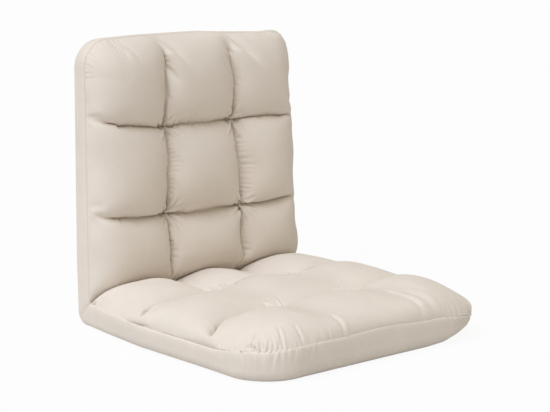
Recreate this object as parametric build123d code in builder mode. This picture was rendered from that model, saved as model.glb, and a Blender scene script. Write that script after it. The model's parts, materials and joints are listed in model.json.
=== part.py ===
"""Folding floor chair: a quilted seat and backrest on two tubular steel frames, joined by ratchet hinges.

Frame of the part: +X to the sitter's left, -Y to the front, +Z up, origin on the floor
in the middle of the chair's outline. The backrest stands upright, as the chair is used.
Each panel also has its own frame: x across, r outwards from the hinge axis, t towards the sitter.
Millimetres and degrees.
"""

from build123d import *
from math import cos, pi, radians, sin, tan
import os

# ---------------------------------------------------------------- panels
seat_width = 540.0
seat_length = 530.0          # hinge axis to the front edge
back_width = 490.0
back_length = 499.0          # hinge axis to the top edge
core_thickness = 46.0        # boxed slab under the pillows
seat_corner_radius = 88.0    # front corners of the seat
back_corner_radius = 64.0    # top corners of the back
cover_thickness = 1.2

# ---------------------------------------------------------------- quilting, measured from the hinge axis
seat_rear_seam = 196.0
seat_front_seam = 355.0
back_low_seam = 169.0
back_high_seam = 333.0
seat_pillow_rises = (46.0, 50.0, 53.0)   # crowns above the slab, row by row from the fold
back_pillow_rises = (53.0, 55.0, 53.0)
pillow_lean = 12.0           # degrees that a pillow's sides lean inwards
pillow_round = 50.0
seam_gap = 0.6

# ---------------------------------------------------------------- steel frames
tube_diameter = 19.0
tube_wall = 1.2
tube_bend = 70.0
frame_inset = 22.0           # side of the back to the middle of its side tube
seat_front_inset = 47.0      # front edge to the middle of the front tube
cross_tube_diameter = 16.0
cross_tube_reach = 92.0      # hinge axis to the cross tube
seat_tube_start = 42.0       # hinge axis to the cut end of the seat tube
back_tube_start = 26.0       # hinge axis to the cut end of the back tube

# ---------------------------------------------------------------- webbing
strap_width = 45.0
strap_thickness = 1.5
strap_count = 4

# ---------------------------------------------------------------- ratchet hinges
fold_forward = 48.0          # upright to folded over the seat
recline_back = 90.0          # upright to flat on the floor
recline_steps = 5
cheek_thickness = 2.0
cheek_margin = 1.8           # cheek's round end to the inside of the cover
cheek_reach = 75.0           # hinge axis to the front end of the cheek
cheek_end_height = 20.0
ratchet_thickness = 3.0
ratchet_margin = 3.8         # tips of the teeth to the cheek's round end
tooth_height = 3.0
notch_steep_side = 4.0       # degrees from the notch's middle to its steep side
notch_ramp_side = 2.5        # degrees from the notch's middle to the foot of its ramp
ramp_turn = 10.0             # degrees that the ramp takes to climb to the tips
ratchet_neck_width = 15.0
tang_length = 30.0           # how far the ratchet plate is let into the back tube
pivot_diameter = 8.0
pivot_head_diameter = 14.0
spacer_diameter = 12.0
head_thickness = 2.0
rivet_diameter = 5.0
rivet_head_diameter = 8.5
rivet_first = 51.0           # hinge axis to the first tube rivet
rivet_pitch = 15.0

# ---------------------------------------------------------------- pawls
pawl_pin_gap = 10.8          # tips of the teeth to the pawl's pin, forward
pawl_pin_up = -3.0
pawl_pin_diameter = 6.0
pawl_boss_diameter = 10.0
pawl_arm_width = 4.0
pawl_heel_turn = 3.0         # heel's place round the ratchet, past the nose's
pawl_lift = 9.0              # turn that frees the nose from the teeth
notch_angle = -60.0          # where the nose meets the ratchet, from straight ahead
spring_pin_gap = 12.0        # pawl's pin to the spring's pin, forward
spring_pin_up = -9.0
spring_pin_diameter = 4.0
spring_pin_head = 6.0
spring_thickness = 0.8
spring_width = 6.0

# ---------------------------------------------------------------- clearances
foam_clearance = 0.3
running_clearance = 0.3
pin_clearance = 0.12
weld_gap = 0.05
pocket_clearance = 1.0
fold_clearance = 0.4

# ---------------------------------------------------------------- worked out from the sizes above
slab = core_thickness / 2
tube_radius = tube_diameter / 2
wrap_radius = slab - cover_thickness
nose_radius = wrap_radius - foam_clearance
core_start = slab - foam_clearance
depth = seat_length + slab
hinge_y = depth / 2 - slab
hinge_z = slab
hinge_x = back_width / 2 - frame_inset
crown = slab + max(seat_pillow_rises + back_pillow_rises)
seat_column = seat_width / 6
back_column = back_width / 6
cheek_gap = tube_radius + running_clearance
cheek_radius = wrap_radius - cheek_margin
ratchet_tip_radius = cheek_radius - ratchet_margin
ratchet_root_radius = ratchet_tip_radius - tooth_height
pawl_pin_forward = ratchet_tip_radius + pawl_pin_gap
spring_pin_forward = pawl_pin_forward + spring_pin_gap
notch_width = radians(notch_steep_side + notch_ramp_side) * ratchet_root_radius
pawl_nose_width = notch_width + running_clearance
strap_top = -tube_radius - weld_gap
strap_bottom = strap_top - strap_thickness
pocket_half = cheek_gap + cheek_thickness + head_thickness + pocket_clearance
pocket_reach = cheek_reach + 2 * pocket_clearance
fold_half_angle = (90 - fold_forward) / 2
fold_slope = tan(radians(fold_half_angle))

seat_panel = Plane(origin=(0, hinge_y, hinge_z), x_dir=(-1, 0, 0), z_dir=(0, 0, 1))
back_panel = Plane(origin=(0, hinge_y, hinge_z), x_dir=(1, 0, 0), z_dir=(0, -1, 0))

os.makedirs("parts", exist_ok=True)


def save(piece, name):
    piece.part.label = name
    export_step(piece.part, f"parts/{name}.step")


def side_plane(panel):
    """The plane of a panel's side view, with r to the right and t up."""
    return Plane(origin=panel.origin, x_dir=panel.y_dir, z_dir=panel.x_dir)


def hinge_plane(x):
    """The side view at one hinge: forward to the right, up is up, thickness along X."""
    return Plane(origin=(x, hinge_y, hinge_z), x_dir=(0, -1, 0), z_dir=(-1, 0, 0))


def polar(radius, angle):
    return (radius * cos(radians(angle)), radius * sin(radians(angle)))


def turned(point, centre, angle):
    """A point turned about a centre, both in the side view."""
    across = point[0] - centre[0]
    up = point[1] - centre[1]
    turn = radians(angle)
    return (
        centre[0] + across * cos(turn) - up * sin(turn),
        centre[1] + across * sin(turn) + up * cos(turn),
    )


def panel_face(rear_half, half, start, reach, widest, radius):
    """Plan of a panel: rear_half wide at the hinge, half wide from widest on, round outer corners."""
    with BuildSketch() as face:
        Polygon(
            (-rear_half, start),
            (rear_half, start),
            (rear_half, core_start),
            (half, widest),
            (half, reach),
            (-half, reach),
            (-half, widest),
            (-rear_half, core_start),
            align=None,
        )
        fillet(face.vertices().sort_by(Axis.Y)[-2:], radius)
    return face.sketch


def seat_face(inset, start):
    return panel_face(
        back_width / 2 - inset,
        seat_width / 2 - inset,
        start,
        seat_length - inset,
        seat_rear_seam,
        seat_corner_radius - inset,
    )


def back_face(inset, start):
    return panel_face(
        back_width / 2 - inset,
        back_width / 2 - inset,
        start,
        back_length - inset,
        back_low_seam,
        back_corner_radius - inset,
    )


def tube_channel_face(reach):
    """Plan of the groove that a U-shaped frame lies in."""
    grown = tube_radius + foam_clearance
    outer = panel_face(
        hinge_x + grown, hinge_x + grown, 0, reach + grown, seat_rear_seam, tube_bend + grown
    )
    inner = panel_face(
        hinge_x - grown, hinge_x - grown, -1, reach - grown, seat_rear_seam, tube_bend - grown
    )
    return outer - inner


def fold_wedge(panel, width):
    """The space in front of a panel that the other panel takes up when the chair is folded."""
    lift = fold_clearance / cos(radians(fold_half_angle))
    far = 2 * crown / fold_slope
    with BuildPart() as wedge:
        with BuildSketch(side_plane(panel)):
            Polygon((0, -lift), (far, far * fold_slope - lift), (0, far * fold_slope), align=None)
        extrude(amount=width / 2, both=True)
    return wedge.part


def hinge_pockets(panel, start):
    """Two blocks around the hinges, to be cut from foam and wadding."""
    with BuildPart() as pockets:
        with BuildSketch(panel):
            with Locations((-hinge_x, (start + pocket_reach) / 2), (hinge_x, (start + pocket_reach) / 2)):
                Rectangle(2 * pocket_half, pocket_reach - start)
        extrude(amount=2 * slab, both=True)
    return pockets.part


def bend_tube(panel, start, reach):
    """A U of steel tube, open towards the hinge, with its side tubes at the hinges."""
    with BuildLine(panel) as path:
        FilletPolyline(
            (-hinge_x, start), (-hinge_x, reach), (hinge_x, reach), (hinge_x, start), radius=tube_bend
        )
    with BuildSketch(Plane(origin=path.line @ 0, z_dir=path.line % 0)) as ring:
        Circle(tube_radius)
        Circle(tube_radius - tube_wall, mode=Mode.SUBTRACT)
    sweep(ring.sketch, path=path.line)


def seat_frame_tube():
    with BuildPart() as tube:
        bend_tube(seat_panel, seat_tube_start, seat_length - seat_front_inset)
        with BuildSketch(side_plane(seat_panel)):
            with Locations((rivet_first, 0), (rivet_first + rivet_pitch, 0)):
                Circle(rivet_diameter / 2 + pin_clearance)
        extrude(amount=seat_width, both=True, mode=Mode.SUBTRACT)
    return tube


def back_frame_tube():
    """The side tubes are slotted at their ends for the ratchet plates."""
    slot_middle = back_tube_start + tang_length / 2
    with BuildPart() as tube:
        bend_tube(back_panel, back_tube_start, back_length - frame_inset)
        with BuildSketch(back_panel):
            with Locations((-hinge_x, slot_middle), (hinge_x, slot_middle)):
                Rectangle(ratchet_thickness + 2 * weld_gap, tang_length + 2 * weld_gap)
        extrude(amount=tube_diameter, both=True, mode=Mode.SUBTRACT)
    return tube


def cross_tube(panel):
    """The tube that ties a frame's two sides together, coped to fit round them."""
    with BuildPart() as tube:
        with BuildSketch(side_plane(panel)):
            with Locations((cross_tube_reach, 0)):
                Circle(cross_tube_diameter / 2)
                Circle(cross_tube_diameter / 2 - tube_wall, mode=Mode.SUBTRACT)
        extrude(amount=hinge_x, both=True)
        with BuildSketch(Plane(origin=panel.origin, x_dir=panel.x_dir, z_dir=panel.y_dir)):
            with Locations((-hinge_x, 0), (hinge_x, 0)):
                Circle(tube_radius + weld_gap)
        extrude(amount=2 * cross_tube_reach, mode=Mode.SUBTRACT)
    return tube


def webbing(panel, reach):
    """Elastic straps from side tube to side tube, evenly spaced, on the side away from the sitter."""
    pitch = (reach - cross_tube_reach) / (strap_count + 1)
    with BuildPart() as straps:
        with BuildSketch(panel.offset(strap_bottom)):
            with Locations([(0, cross_tube_reach + pitch * (n + 1)) for n in range(strap_count)]):
                Rectangle(2 * hinge_x + tube_radius, min(strap_width, pitch - seam_gap))
        extrude(amount=strap_thickness)
    return straps


def cut_for_frame(panel, reach):
    """The grooves and pockets that the frame, its cross tube and the hinges need in a foam slab."""
    extrude(
        panel.offset(strap_top) * tube_channel_face(reach),
        amount=tube_diameter + foam_clearance + weld_gap,
        dir=panel.z_dir,
        mode=Mode.SUBTRACT,
    )
    groove = cross_tube_diameter / 2 + foam_clearance
    with BuildSketch(panel.offset(strap_top)) as cross_groove:
        with Locations((0, cross_tube_reach)):
            Rectangle(2 * hinge_x, 2 * groove)
    extrude(cross_groove.sketch, amount=groove - strap_top, mode=Mode.SUBTRACT)


def seat_foam_slab():
    """Foam with a round nose at the hinge axis, which the back turns about."""
    with BuildPart() as foam:
        extrude(
            seat_panel.offset(strap_top) * seat_face(cover_thickness, core_start),
            amount=slab - strap_top,
            dir=seat_panel.z_dir,
        )
        add(fold_wedge(seat_panel, 2 * seat_width), mode=Mode.SUBTRACT)
        with BuildSketch(side_plane(seat_panel)):
            Circle(nose_radius)
            with Locations((core_start / 2, strap_top / 2)):
                Rectangle(core_start, -strap_top)
        extrude(amount=back_width / 2 - cover_thickness, both=True)
        cut_for_frame(seat_panel, seat_length - seat_front_inset)
        add(hinge_pockets(seat_panel, -2 * slab), mode=Mode.SUBTRACT)
    return foam


def back_foam_slab():
    """Foam that ends in a hollow round the seat's nose."""
    with BuildPart() as foam:
        extrude(
            back_panel.offset(strap_top) * back_face(cover_thickness, slab / 2),
            amount=slab - strap_top,
            dir=back_panel.z_dir,
        )
        add(fold_wedge(back_panel, 2 * seat_width), mode=Mode.SUBTRACT)
        with BuildSketch(side_plane(back_panel)):
            Circle(wrap_radius)
        extrude(amount=back_width, both=True, mode=Mode.SUBTRACT)
        cut_for_frame(back_panel, back_length - frame_inset)
        add(hinge_pockets(back_panel, 0), mode=Mode.SUBTRACT)
    return foam


def wadding(panel, face):
    """The thin pad between the webbing and the cover."""
    with BuildPart() as pad:
        extrude(
            panel.offset(-wrap_radius) * face,
            amount=strap_bottom + wrap_radius,
            dir=panel.z_dir,
        )
        add(hinge_pockets(panel, 0), mode=Mode.SUBTRACT)
    return pad


def outer_panel(panel, face):
    """Cover fabric on the side away from the sitter."""
    with BuildPart() as cloth:
        extrude(panel.offset(-slab) * face, amount=cover_thickness, dir=panel.z_dir)
    return cloth


def side_band(panel, outer, inner):
    """Boxing band of the cover, round the edge of a panel and open at the hinge."""
    with BuildPart() as band:
        extrude(panel.offset(-wrap_radius) * (outer - inner), amount=slab + wrap_radius, dir=panel.z_dir)
        add(fold_wedge(panel, 2 * seat_width), mode=Mode.SUBTRACT)
    return band


def pillow(panel, outline, left, right, near, far, rise):
    """One stuffed pocket of the quilting: a crowned block on the slab."""
    half_gap = seam_gap / 2
    with BuildPart() as cushion:
        with BuildSketch(panel.offset(slab)):
            add(outline)
            with Locations(((left + right) / 2, (near + far) / 2)):
                Rectangle(right - left - seam_gap, far - near - seam_gap, mode=Mode.INTERSECT)
        extrude(amount=rise, taper=pillow_lean)
        across = panel.y_dir - panel.z_dir
        mitre = Plane(
            origin=panel.origin + across.normalized() * half_gap, x_dir=panel.x_dir, z_dir=across
        )
        split(bisect_by=mitre, keep=Keep.TOP)
        top = cushion.faces().sort_by(Axis(panel.origin, panel.z_dir))[-1]
        fillet(top.edges(), pillow_rounding(left, right, near, far, rise))
    return cushion


def pillow_rounding(left, right, near, far, rise):
    """Rounding of a pillow's top, kept within its walls; a pillow at the fold starts at its mitre."""
    lean = radians(pillow_lean)
    per_radius = tan((pi / 2 - lean) / 2)
    mitre_per_radius = tan(pi / 8)
    drawn_in = rise * tan(lean) + seam_gap
    across = (right - left) / 2 - drawn_in
    along = (far - near) / 2 - drawn_in
    if near < slab + rise:
        along = (far - drawn_in - slab - rise) * per_radius / (per_radius + mitre_per_radius)
    corner = min(seat_corner_radius, back_corner_radius) - drawn_in
    room = min(across, along, rise / cos(lean), corner) / per_radius
    return min(pillow_round, room - seam_gap)


def quilting(panel, outline, column, half, seams, rises, panel_name, row_names, sides):
    """Three rows of three pillows, saved one by one."""
    lines = [-half - 1, -column, column, half + 1]
    for row, row_name in enumerate(row_names):
        for place, side in enumerate(sides):
            cushion = pillow(
                panel, outline, lines[place], lines[place + 1], seams[row], seams[row + 1], rises[row]
            )
            save(cushion, f"{panel_name}_pillow_{row_name}_{side}")


def hinge_wrap():
    """Cover fabric bent round the nose, from the seat's underside to the rear of the back."""
    with BuildPart() as wrap:
        with BuildSketch(side_plane(seat_panel)):
            Circle(slab)
            Circle(wrap_radius, mode=Mode.SUBTRACT)
            with Locations((-slab, -slab)):
                Rectangle(2 * slab, 2 * slab, mode=Mode.INTERSECT)
        extrude(amount=back_width / 2, both=True)
    return wrap


def hinge_gusset(side):
    """Cover fabric that closes the side of the fold between the seat's band and the back's."""
    reach = slab / fold_slope
    with BuildPart() as gusset:
        with BuildSketch(hinge_plane(side * (back_width / 2 - cover_thickness / 2))):
            Polygon((0, 0), (reach, slab), (slab, slab), (slab, reach), align=None)
            Circle(nose_radius)
        extrude(amount=cover_thickness / 2, both=True)
    return gusset


def cheek(x):
    """Steel plate that carries the pivot and is riveted to the seat tube."""
    with BuildPart() as plate:
        with BuildSketch(hinge_plane(x)):
            Circle(cheek_radius)
            with Locations((cheek_reach - cheek_thickness / 2, 0)):
                Rectangle(cheek_thickness, cheek_end_height)
            make_hull()
            Circle(pivot_diameter / 2 + pin_clearance, mode=Mode.SUBTRACT)
            with Locations((pawl_pin_forward, pawl_pin_up)):
                Circle(pawl_pin_diameter / 2 + pin_clearance, mode=Mode.SUBTRACT)
            with Locations((spring_pin_forward, spring_pin_up)):
                Circle(spring_pin_diameter / 2 + pin_clearance, mode=Mode.SUBTRACT)
            with Locations((rivet_first, 0), (rivet_first + rivet_pitch, 0)):
                Circle(rivet_diameter / 2 + pin_clearance, mode=Mode.SUBTRACT)
        extrude(amount=cheek_thickness / 2, both=True)
    return plate


def add_pin(plane, centre, diameter, head_diameter):
    """A pin through both cheeks, headed on the outside of each."""
    outside = cheek_gap + cheek_thickness
    with BuildSketch(plane) as shank:
        with Locations(centre):
            Circle(diameter / 2)
    extrude(shank.sketch, amount=outside, both=True)
    for way in (1, -1):
        with BuildSketch(plane.offset(way * outside)) as head:
            with Locations(centre):
                Circle(head_diameter / 2)
        extrude(head.sketch, amount=way * head_thickness)


def pivot_pin(x):
    with BuildPart() as pin:
        add_pin(hinge_plane(x), (0, 0), pivot_diameter, pivot_head_diameter)
    return pin


def pawl_pin(x):
    with BuildPart() as pin:
        add_pin(hinge_plane(x), (pawl_pin_forward, pawl_pin_up), pawl_pin_diameter, pawl_boss_diameter)
    return pin


def rivets(x):
    """Two rivets through the seat tube and one that the pawl's spring is wound on."""
    with BuildPart() as group:
        add_pin(hinge_plane(x), (rivet_first, 0), rivet_diameter, rivet_head_diameter)
        add_pin(hinge_plane(x), (rivet_first + rivet_pitch, 0), rivet_diameter, rivet_head_diameter)
        add_pin(
            hinge_plane(x),
            (spring_pin_forward, spring_pin_up),
            spring_pin_diameter,
            spring_pin_head,
        )
    return group


def spacers(x):
    """Bushes that keep the ratchet and the pawl midway between the cheeks."""
    start = ratchet_thickness / 2 + running_clearance
    places = [
        ((0, 0), pivot_diameter, spacer_diameter),
        ((pawl_pin_forward, pawl_pin_up), pawl_pin_diameter, pawl_boss_diameter),
    ]
    with BuildPart() as bushes:
        for way in (1, -1):
            with BuildSketch(hinge_plane(x).offset(way * start)):
                for centre, bore, outside in places:
                    with Locations(centre):
                        Circle(outside / 2)
                        Circle(bore / 2 + pin_clearance, mode=Mode.SUBTRACT)
            extrude(amount=way * (cheek_gap - start))
    return bushes


def notch_places():
    """Wheel angles of the notches: one for each recline position and one for storage."""
    step = recline_back / recline_steps
    places = [notch_angle - step * n for n in range(recline_steps + 1)]
    places.append(notch_angle + fold_forward)
    return places


def ratchet(x):
    """Toothed plate, welded into the end of the back tube, that turns on the pivot."""
    outside = ratchet_tip_radius + running_clearance
    ramp_end = notch_ramp_side + ramp_turn * (outside - ratchet_root_radius) / tooth_height
    with BuildPart() as plate:
        with BuildSketch(hinge_plane(x)):
            Circle(ratchet_tip_radius)
            with Locations((0, back_tube_start / 2)):
                Rectangle(ratchet_neck_width, back_tube_start)
            with Locations((0, back_tube_start + tang_length / 2)):
                Rectangle(tube_diameter, tang_length)
            for place in notch_places():
                Polygon(
                    polar(ratchet_root_radius, place - notch_steep_side),
                    polar(outside, place - notch_steep_side),
                    polar(outside, place + ramp_end),
                    polar(ratchet_root_radius, place + notch_ramp_side),
                    align=None,
                    mode=Mode.SUBTRACT,
                )
            Circle(pivot_diameter / 2 + pin_clearance, mode=Mode.SUBTRACT)
        extrude(amount=ratchet_thickness / 2, both=True)
    return plate


def pawl_points():
    """Centres of the pawl's pin, heel and nose, lifted clear of the teeth."""
    pin = (pawl_pin_forward, pawl_pin_up)
    above_root = (running_clearance + pawl_nose_width) / 2
    notch_middle = (notch_ramp_side + ramp_turn * above_root / tooth_height - notch_steep_side) / 2
    heel_radius = ratchet_tip_radius + running_clearance + pawl_arm_width / 2
    nose = turned(polar(ratchet_root_radius + above_root, notch_angle + notch_middle), pin, pawl_lift)
    heel = turned(polar(heel_radius, notch_angle + pawl_heel_turn), pin, pawl_lift)
    return pin, heel, nose


def pawl(x):
    """Strut that drops into a notch and holds the back against leaning."""
    pin, heel, nose = pawl_points()
    arm = pawl_arm_width / 2
    with BuildPart() as strut:
        for start, start_radius, end, end_radius in (
            (pin, arm, heel, arm),
            (heel, arm, nose, pawl_nose_width / 2),
        ):
            with BuildSketch(hinge_plane(x)):
                with Locations(start):
                    Circle(start_radius)
                with Locations(end):
                    Circle(end_radius)
                make_hull()
            extrude(amount=ratchet_thickness / 2, both=True)
        with BuildSketch(hinge_plane(x)):
            with Locations(pin):
                Circle(pawl_boss_diameter / 2)
        extrude(amount=ratchet_thickness / 2, both=True)
        with BuildSketch(hinge_plane(x)):
            with Locations(pin):
                Circle(pawl_pin_diameter / 2 + pin_clearance)
        extrude(amount=ratchet_thickness, both=True, mode=Mode.SUBTRACT)
    return strut


def pawl_spring(x):
    """Leaf with an eye on its own pin, pressing the pawl towards the teeth."""
    pin, heel, _ = pawl_points()
    anchor = Vector(spring_pin_forward, spring_pin_up)
    along = (Vector(*heel) - Vector(*pin)).normalized()
    outward = Vector(-along.Y, along.X)
    touch = (Vector(*pin) + Vector(*heel)) / 2
    touch = touch + outward * (pawl_arm_width / 2 + running_clearance + spring_thickness / 2)
    eye = spring_pin_diameter / 2 + pin_clearance
    leaf_start = anchor - Vector(0, eye + spring_thickness / 2)
    with BuildPart() as leaf:
        with BuildSketch(hinge_plane(x)):
            with Locations((leaf_start.X, leaf_start.Y), (touch.X, touch.Y)):
                Circle(spring_thickness / 2)
            make_hull()
            with Locations((anchor.X, anchor.Y)):
                Circle(eye + spring_thickness)
                Circle(eye, mode=Mode.SUBTRACT)
        extrude(amount=spring_width / 2, both=True)
    return leaf


# ---------------------------------------------------------------- seat
save(seat_frame_tube(), "seat_frame_tube")
save(cross_tube(seat_panel), "seat_cross_tube")
save(webbing(seat_panel, seat_length - seat_front_inset), "seat_webbing")
save(wadding(seat_panel, seat_face(cover_thickness, core_start)), "seat_wadding")
save(seat_foam_slab(), "seat_foam")
save(outer_panel(seat_panel, seat_face(0, seam_gap)), "seat_bottom_panel")
save(side_band(seat_panel, seat_face(0, core_start), seat_face(cover_thickness, 0)), "seat_side_band")
quilting(
    seat_panel,
    seat_face(0, 0),
    seat_column,
    seat_width / 2,
    [0, seat_rear_seam, seat_front_seam, seat_length + seam_gap / 2],
    seat_pillow_rises,
    "seat",
    ["rear", "middle", "front"],
    ["left", "centre", "right"],
)

# ---------------------------------------------------------------- back
save(back_frame_tube(), "back_frame_tube")
save(cross_tube(back_panel), "back_cross_tube")
save(webbing(back_panel, back_length - frame_inset), "back_webbing")
save(wadding(back_panel, back_face(cover_thickness, core_start)), "back_wadding")
save(back_foam_slab(), "back_foam")
save(outer_panel(back_panel, back_face(0, seam_gap)), "back_rear_panel")
save(side_band(back_panel, back_face(0, core_start), back_face(cover_thickness, 0)), "back_side_band")
quilting(
    back_panel,
    back_face(0, 0),
    back_column,
    back_width / 2,
    [0, back_low_seam, back_high_seam, back_length + seam_gap / 2],
    back_pillow_rises,
    "back",
    ["low", "middle", "top"],
    ["right", "centre", "left"],
)

# ---------------------------------------------------------------- fold and hinges
save(hinge_wrap(), "hinge_cover_wrap")
for side_name, side in (("left", 1), ("right", -1)):
    middle = side * hinge_x
    offset_x = side * (cheek_gap + cheek_thickness / 2)
    save(hinge_gusset(side), f"hinge_gusset_{side_name}")
    save(cheek(middle + offset_x), f"hinge_cheek_outer_{side_name}")
    save(cheek(middle - offset_x), f"hinge_cheek_inner_{side_name}")
    save(pivot_pin(middle), f"pivot_pin_{side_name}")
    save(pawl_pin(middle), f"pawl_pin_{side_name}")
    save(rivets(middle), f"hinge_rivets_{side_name}")
    save(spacers(middle), f"hinge_spacers_{side_name}")
    save(ratchet(middle), f"ratchet_{side_name}")
    save(pawl(middle), f"pawl_{side_name}")
    save(pawl_spring(middle), f"pawl_spring_{side_name}")
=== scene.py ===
"""Folding floor chair: the quilted cover and the finishes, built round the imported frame. Metres.

Each panel has its own frame, as in the part's source: x across, r outwards from the hinge axis,
t towards the sitter. The seat lies along -Y with t up; the back stands along +Z with t towards -Y.
"""

import json
from math import cos, pi, radians, sin
from types import SimpleNamespace

import bmesh
import bpy
import numpy as np
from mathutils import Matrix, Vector


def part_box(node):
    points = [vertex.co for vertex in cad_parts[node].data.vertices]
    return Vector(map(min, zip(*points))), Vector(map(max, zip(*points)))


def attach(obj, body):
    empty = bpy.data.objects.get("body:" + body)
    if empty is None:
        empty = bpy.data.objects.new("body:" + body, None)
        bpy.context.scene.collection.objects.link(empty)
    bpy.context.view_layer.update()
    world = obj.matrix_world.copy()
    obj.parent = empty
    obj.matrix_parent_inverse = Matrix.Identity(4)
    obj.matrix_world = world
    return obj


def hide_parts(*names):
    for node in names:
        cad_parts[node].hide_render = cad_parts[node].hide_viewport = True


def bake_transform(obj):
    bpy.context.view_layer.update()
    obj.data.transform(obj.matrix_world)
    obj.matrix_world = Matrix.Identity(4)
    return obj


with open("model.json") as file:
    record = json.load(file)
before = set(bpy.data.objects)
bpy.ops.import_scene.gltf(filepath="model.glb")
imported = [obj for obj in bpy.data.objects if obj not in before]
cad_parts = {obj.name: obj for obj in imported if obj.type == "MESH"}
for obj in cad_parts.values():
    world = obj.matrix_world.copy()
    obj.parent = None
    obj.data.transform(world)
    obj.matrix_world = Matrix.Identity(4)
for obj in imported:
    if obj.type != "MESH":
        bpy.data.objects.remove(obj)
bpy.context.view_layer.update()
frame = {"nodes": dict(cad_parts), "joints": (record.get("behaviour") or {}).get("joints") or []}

# ---------------------------------------------------------------- sizes
MM = 0.001
HINGE_Y, HINGE_Z = next(j["pos_m"][1:] for j in frame["joints"] if j["name"] == "back_fold")
SLAB = HINGE_Z                                   # half the thickness of a boxed panel
SEAT_LENGTH = HINGE_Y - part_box("seat_bottom_panel")[0].y
BACK_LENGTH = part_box("back_rear_panel")[1].z - HINGE_Z
SEAT_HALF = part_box("seat_bottom_panel")[1].x
BACK_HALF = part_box("back_rear_panel")[1].x
SEAT_ROWS = (HINGE_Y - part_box("seat_pillow_middle_centre")[1].y, HINGE_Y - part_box("seat_pillow_front_centre")[1].y)
BACK_ROWS = (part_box("back_pillow_middle_centre")[0].z - HINGE_Z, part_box("back_pillow_top_centre")[0].z - HINGE_Z)
SEAT_CORNERS = (88 * MM, 104 * MM)               # plan radius of the front corners, at -x and +x
BACK_CORNERS = (50 * MM, 44 * MM)                # and of the top corners
# along x, how much higher than the slab the seat's front seam runs, mm
FRONT_SEAM = ((-270, -246, -208, -146, -90, -60, 0, 30, 60, 90, 150, 240, 270),
              (7, 9, 12.5, 14.5, 13, 15, 16, 15, 12, 10, 8, -7, -8))


def mm(value):
    return value / MM


def smooth(value, low, high):
    """0 up to low, 1 from high on, and an easy curve between."""
    f = np.clip((value - low) / (high - low), 0, 1)
    return f * f * (3 - 2 * f)


def front_rise(x, r):
    """The front seam's rise at a point of the seat; none away from the front."""
    rise = np.interp(mm(x), *FRONT_SEAM) * MM
    return rise * smooth(r, SEAT_LENGTH - 130 * MM, SEAT_LENGTH - 50 * MM)


def half_width(widest, r):
    """Half width of a panel at r: the seat narrows to the back's width towards the fold."""
    return BACK_HALF + (widest - BACK_HALF) * np.clip((r - SLAB) / (SEAT_ROWS[0] - SLAB), 0, 1)


def round_corners(x, r, half, length, radius):
    """Squeeze the outer corners of a rectangle into quarter discs."""
    over_x = np.clip(np.abs(x) - (half - radius), 0, radius)
    over_r = np.clip(r - (length - radius), 0, radius)
    new_x = over_x * np.sqrt(1 - over_r**2 / (2 * radius**2))
    new_r = over_r * np.sqrt(1 - over_x**2 / (2 * radius**2))
    return np.sign(x) * (np.abs(x) - over_x + new_x), r - over_r + new_r


def to_seat(p):
    return np.stack([p[..., 0], HINGE_Y - p[..., 1], HINGE_Z + p[..., 2]], axis=-1)


def to_back(p):
    return np.stack([p[..., 0], HINGE_Y - p[..., 2], HINGE_Z + p[..., 1]], axis=-1)


def add_object(name, data):
    obj = bpy.data.objects.new(name, data)
    bpy.context.scene.collection.objects.link(obj)
    return obj


def make_object(name, verts, faces):
    """A smooth closed mesh with its faces turned outwards."""
    mesh = bpy.data.meshes.new(name)
    mesh.from_pydata([tuple(v) for v in verts], [], faces)
    bm = bmesh.new()
    bm.from_mesh(mesh)
    bmesh.ops.recalc_face_normals(bm, faces=bm.faces)
    bm.to_mesh(mesh)
    bm.free()
    for face in mesh.polygons:
        face.use_smooth = True
    return add_object(name, mesh)


def grid_ring(rows, cols):
    """The border of a grid, once round, as (row, column)."""
    return ([(0, i) for i in range(cols)] + [(j, cols - 1) for j in range(1, rows)]
            + [(rows - 1, i) for i in range(cols - 2, -1, -1)] + [(j, 0) for j in range(rows - 2, 0, -1)])


# ---------------------------------------------------------------- the cloth solver
def pull(a, b, wa, wb, rest, stretch, squeeze):
    """Move two sets of points towards their rest distance, in place."""
    gap = b - a
    size = np.sqrt((gap * gap).sum(-1)) + 1e-9
    miss = (size - rest) / size
    move = gap * (miss * np.where(miss > 0, stretch, squeeze) / (wa + wb + 1e-9))[..., None]
    a += move * wa[..., None]
    b -= move * wb[..., None]


def lengths(q):
    """Rest lengths of a cut pattern: across, along and the two diagonals."""
    def size(a, b):
        return np.sqrt(((b - a) ** 2).sum(-1))
    return (size(q[:, :-1], q[:, 1:]), size(q[:-1], q[1:]),
            size(q[:-1, :-1], q[1:, 1:]), size(q[:-1, 1:], q[1:, :-1]))


def sweep(p, w, rest, shear, squeeze=0.6):
    """One pass of the cloth's own lengths, in sets that share no point."""
    across, along, down, up = rest
    for k in (0, 1):
        pull(p[:, k:-1:2], p[:, k + 1::2], w[:, k:-1:2], w[:, k + 1::2], across[:, k::2], 1.0, squeeze)
        pull(p[k:-1:2], p[k + 1::2], w[k:-1:2], w[k + 1::2], along[k::2], 1.0, squeeze)
        pull(p[k:-1:2, :-1], p[k + 1::2, 1:], w[k:-1:2, :-1], w[k + 1::2, 1:], down[k::2], shear, shear)
        pull(p[k:-1:2, 1:], p[k + 1::2, :-1], w[k:-1:2, 1:], w[k + 1::2, :-1], up[k::2], shear, shear)


def stiffen(p, w, amount):
    """Resist sharp bends: each point moves towards the middle of its neighbours."""
    for a, c, b, wm in ((p[:, :-2], p[:, 1:-1], p[:, 2:], w[:, 1:-1]), (p[:-2], p[1:-1], p[2:], w[1:-1])):
        c += (0.5 * (a + b) - c) * (amount * wm)[..., None]


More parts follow.
